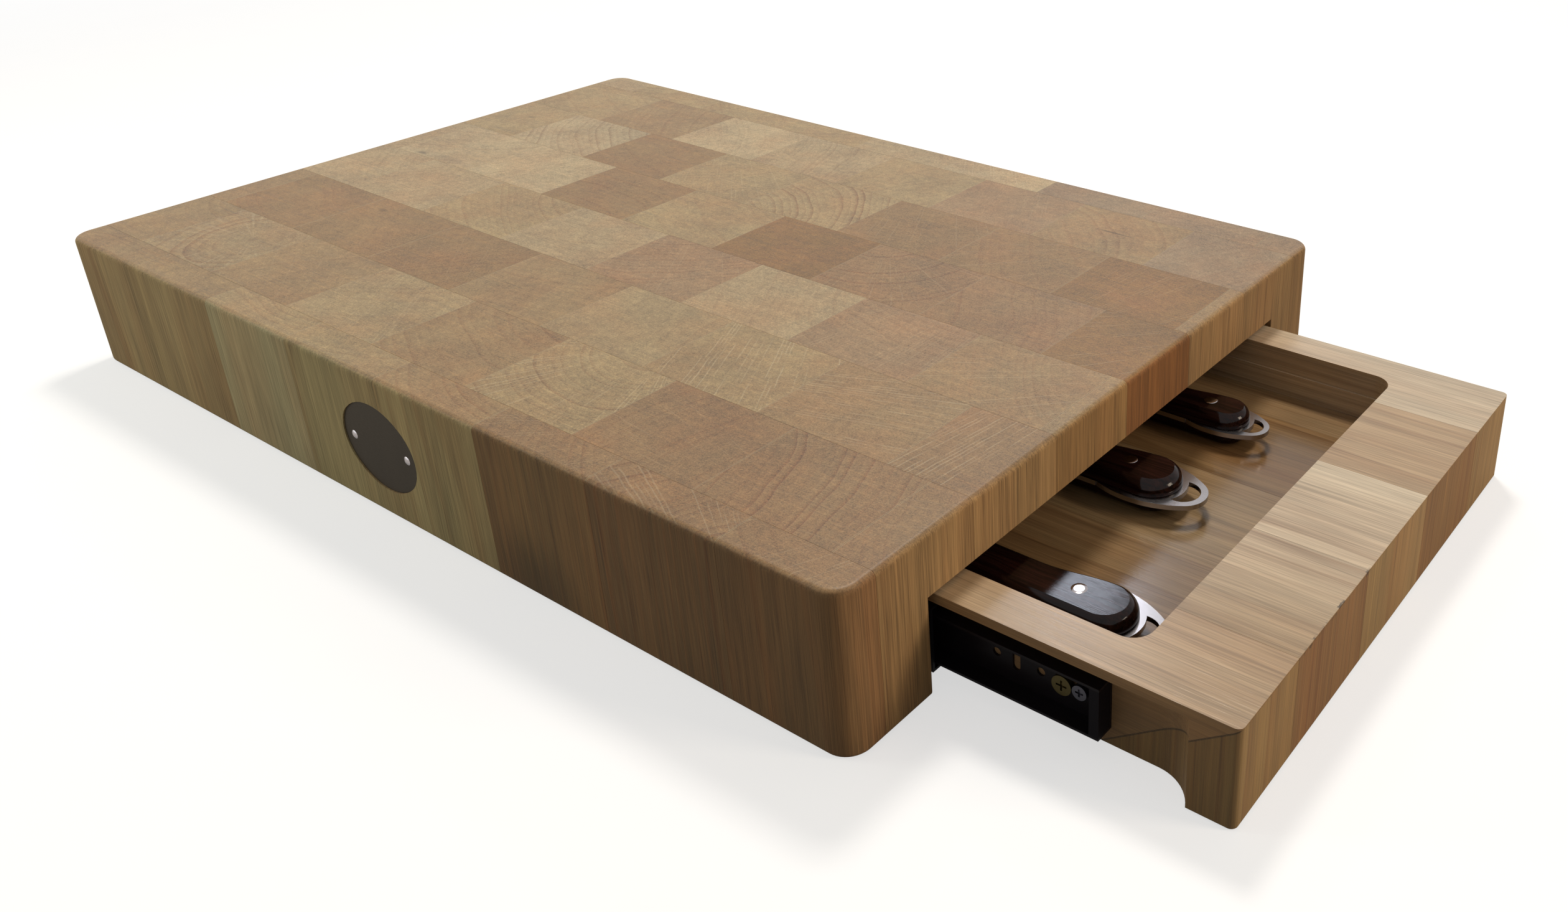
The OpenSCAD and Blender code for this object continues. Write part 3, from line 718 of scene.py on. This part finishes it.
def vertex_ring(mesh, centre, points, height):
    """Vertices at plan points round a centre, at one height from it."""
    return [mesh.verts.new(((centre[0] + x) * MM, (centre[1] + y) * MM, (centre[2] + height) * MM))
            for x, y in points]


def join_rings(mesh, rings, side):
    """Smooth faces from each ring to the next; side is 1 upwards and -1 downwards."""
    for low, high in zip(rings, rings[1:]):
        for k in range(len(low)):
            n = (k + 1) % len(low)
            quad = [low[k], low[n], high[n], high[k]]
            mesh.faces.new(quad[::side]).smooth = True


def sharpen(mesh, ring):
    for k in range(len(ring)):
        mesh.edges.get((ring[k - 1], ring[k])).smooth = False


def piece_from(mesh, name):
    data = bpy.data.meshes.new(name)
    mesh.to_mesh(data)
    mesh.free()
    return add_object(name, data)


def handle(name, centre, size):
    """Both scales of a knife, domed from a straight foot to a flat top."""
    line = handle_outline()
    levels = [(FOOT_INSET, 0.0), (0.0, FOOT)]
    for a in range(9, 91, 9):
        rise = (SCALE_TOP - FOOT) * math.sin(math.radians(a))
        levels.append((FLANK_R * (1.0 - math.sqrt(1.0 - (rise / FLANK_R) ** 2)), FOOT + rise))
    mesh = bmesh.new()
    for side in (1, -1):
        rings = []
        for depth, height in levels:
            points = [(x * size, y * size) for x, y in inset(line, depth)]
            rings.append(vertex_ring(mesh, centre, points, side * (HALF_PLATE + height)))
        join_rings(mesh, rings, side)
        mesh.faces.new(rings[-1][::side])
        mesh.faces.new(rings[0][::-side])
        sharpen(mesh, rings[-1])
        sharpen(mesh, rings[0])
    return piece_from(mesh, name)


def rivet_pair(name, centre, size):
    """Two round rivets through a handle, each end slightly domed."""
    mesh = bmesh.new()
    turns = [2.0 * math.pi * k / RIVET_SIDES for k in range(RIVET_SIDES)]
    for x0 in (0.0, -RIVET_GAP * size):
        for side in (1, -1):
            rings = []
            for r, height in RIVET_PROFILE:
                points = [(x0 + r * math.cos(a), r * math.sin(a)) for a in turns]
                rings.append(vertex_ring(mesh, centre, points, side * height))
            join_rings(mesh, rings, side)
            mesh.faces.new(rings[-1][::side]).smooth = True
            sharpen(mesh, rings[1])
    return piece_from(mesh, name)


scale_wood = rosewood()
rivet_steel = nodes["knife_1_rivets"].data.materials[0]
for k, (rivet_at, size) in KNIVES.items():
    scales = handle(f"handle_{k}", rivet_at, size)
    scales.data.materials.append(scale_wood)
    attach(scales, "drawer")
    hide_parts(f"knife_{k}_scales")
    pins = rivet_pair(f"rivets_{k}", rivet_at, size)
    pins.data.materials.append(rivet_steel)
    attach(pins, "drawer")
    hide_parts(f"knife_{k}_rivets")
    rim = nodes[f"knife_{k}_blade"].modifiers.new("rim", "BEVEL")
    rim.width = BLADE_RIM * MM
    rim.segments = 3
    rim.limit_method = "ANGLE"
    rim.angle_limit = math.radians(60)
    rim.harden_normals = True


# ---------------------------------------------------------------- stage
FLOOR_HALF = 6.0
FLOOR_DROP = 0.0003
FLOOR_FADE = (0.7, 1.8)  # metres from the middle over which the floor turns white
FLOOR_SEEN, FLOOR_BOUNCE = (0.55, 0.55, 0.55), (0.24, 0.20, 0.16)
FLOOR_GLOW = 0.62  # of white, near the board, so that the shadow shows
GLOSSY_FLOOR = 0.35  # how much of the floor's glow a reflection picks up
ROOM = (0.24, 0.23, 0.21, 1)
# Lamps: place, aim, side length, watts, colour.
LAMPS = {
    "key": ((-0.40, 0.80, 2.05), (0.0, 0.0, 0.0), 0.4, 24, (1.0, 0.94, 0.86)),
    "front": ((1.6, 0.35, 0.62), (0.2, 0.0, 0.0), 0.4, 8.5, (1.0, 0.84, 0.66)),
    "side": ((-0.75, -0.75, 0.4), (-0.3, -0.2, 0.03), 0.3, 2.0, (0.96, 1.0, 0.88)),
    "glint": ((-0.55, 1.15, 1.15), (0.27, -0.10, 0.03), 0.16, 1.1, (0.80, 0.86, 1.0)),
}


def floor():
    """A pale floor that glows where it is looked at and keeps the board's shadow."""
    h, z_floor = FLOOR_HALF, -FLOOR_DROP
    mesh = bpy.data.meshes.new("floor")
    mesh.from_pydata([(-h, -h, z_floor), (h, -h, z_floor), (h, h, z_floor), (-h, h, z_floor)],
                     [], [(0, 1, 2, 3)])
    plane = add_object("floor", mesh)
    kit = Kit("floor_pale")
    x, y, z = kit.place()
    path = kit.tree.nodes.new("ShaderNodeLightPath")
    camera_ray, glossy_ray, clear_ray = [
        Value(kit, path.outputs[f"Is {ray} Ray"]) for ray in ("Camera", "Glossy", "Transmission")]
    seen = camera_ray.max(glossy_ray * GLOSSY_FLOOR).max(clear_ray)
    speck = kit.noise(kit.vector(x, y, z), 0.02, 3.0)
    away = ((x * x + y * y).sqrt() / 1000.0).ease(*FLOOR_FADE)
    matt = kit.tree.nodes.new("ShaderNodeBsdfDiffuse")
    kit.put(matt.inputs["Color"],
            kit.mix(seen, FLOOR_BOUNCE, kit.shade(FLOOR_SEEN, speck.swing(0.03) + 1.0 - away)))
    glow = kit.tree.nodes.new("ShaderNodeEmission")
    kit.put(glow.inputs["Color"], WHITE)
    kit.put(glow.inputs["Strength"], seen * (away * (1.0 - FLOOR_GLOW) + FLOOR_GLOW))
    both = kit.tree.nodes.new("ShaderNodeAddShader")
    kit.tree.links.new(matt.outputs[0], both.inputs[0])
    kit.tree.links.new(glow.outputs[0], both.inputs[1])
    kit.tree.links.new(both.outputs[0], kit.end.inputs[0])
    plane.data.materials.append(kit.material)


def world():
    """White where the camera, a reflection or a clear piece looks, dim as a light."""
    made = bpy.data.worlds.new("room")
    bpy.context.scene.world = made
    made.use_nodes = True
    tree = made.node_tree
    path = tree.nodes.new("ShaderNodeLightPath")
    mixed = tree.nodes.new("ShaderNodeMix")
    mixed.data_type = "RGBA"
    mixed.inputs[6].default_value = ROOM
    mixed.inputs[7].default_value = (*WHITE, 1)
    seen = path.outputs["Is Camera Ray"]
    for ray in ("Is Glossy Ray", "Is Transmission Ray"):
        either = tree.nodes.new("ShaderNodeMath")
        either.operation = "MAXIMUM"
        tree.links.new(seen, either.inputs[0])
        tree.links.new(path.outputs[ray], either.inputs[1])
        seen = either.outputs[0]
    tree.links.new(seen, mixed.inputs[0])
    tree.links.new(mixed.outputs[2], tree.nodes["Background"].inputs["Color"])


def area(name, place, aim, size, watts, colour):
    lamp = bpy.data.lights.new(name, "AREA")
    lamp.shape = "RECTANGLE"
    lamp.size = lamp.size_y = size
    lamp.energy = watts
    lamp.color = colour
    lamp_object = add_object(name, lamp)
    lamp_object.location = place
    turned = (Vector(aim) - Vector(place)).to_track_quat("-Z", "Y")
    lamp_object.rotation_euler = turned.to_euler()


floor()
world()
for lamp_name, settings in LAMPS.items():
    area(lamp_name, *settings)

# ---------------------------------------------------------------- camera
lens = bpy.data.cameras.new("camera")
lens.lens = 31.61
lens.sensor_width = 36.0
lens.shift_x = -0.18
lens.shift_y = -0.10
lens.clip_start = 0.02
camera = add_object("camera", lens)
camera.location = (0.52342, -0.48594, 0.38921)
camera.rotation_euler = [math.radians(a) for a in (64.6639, -0.1556, 34.0718)]
bpy.context.scene.camera = camera
bpy.context.scene.view_settings.view_transform = "Standard"
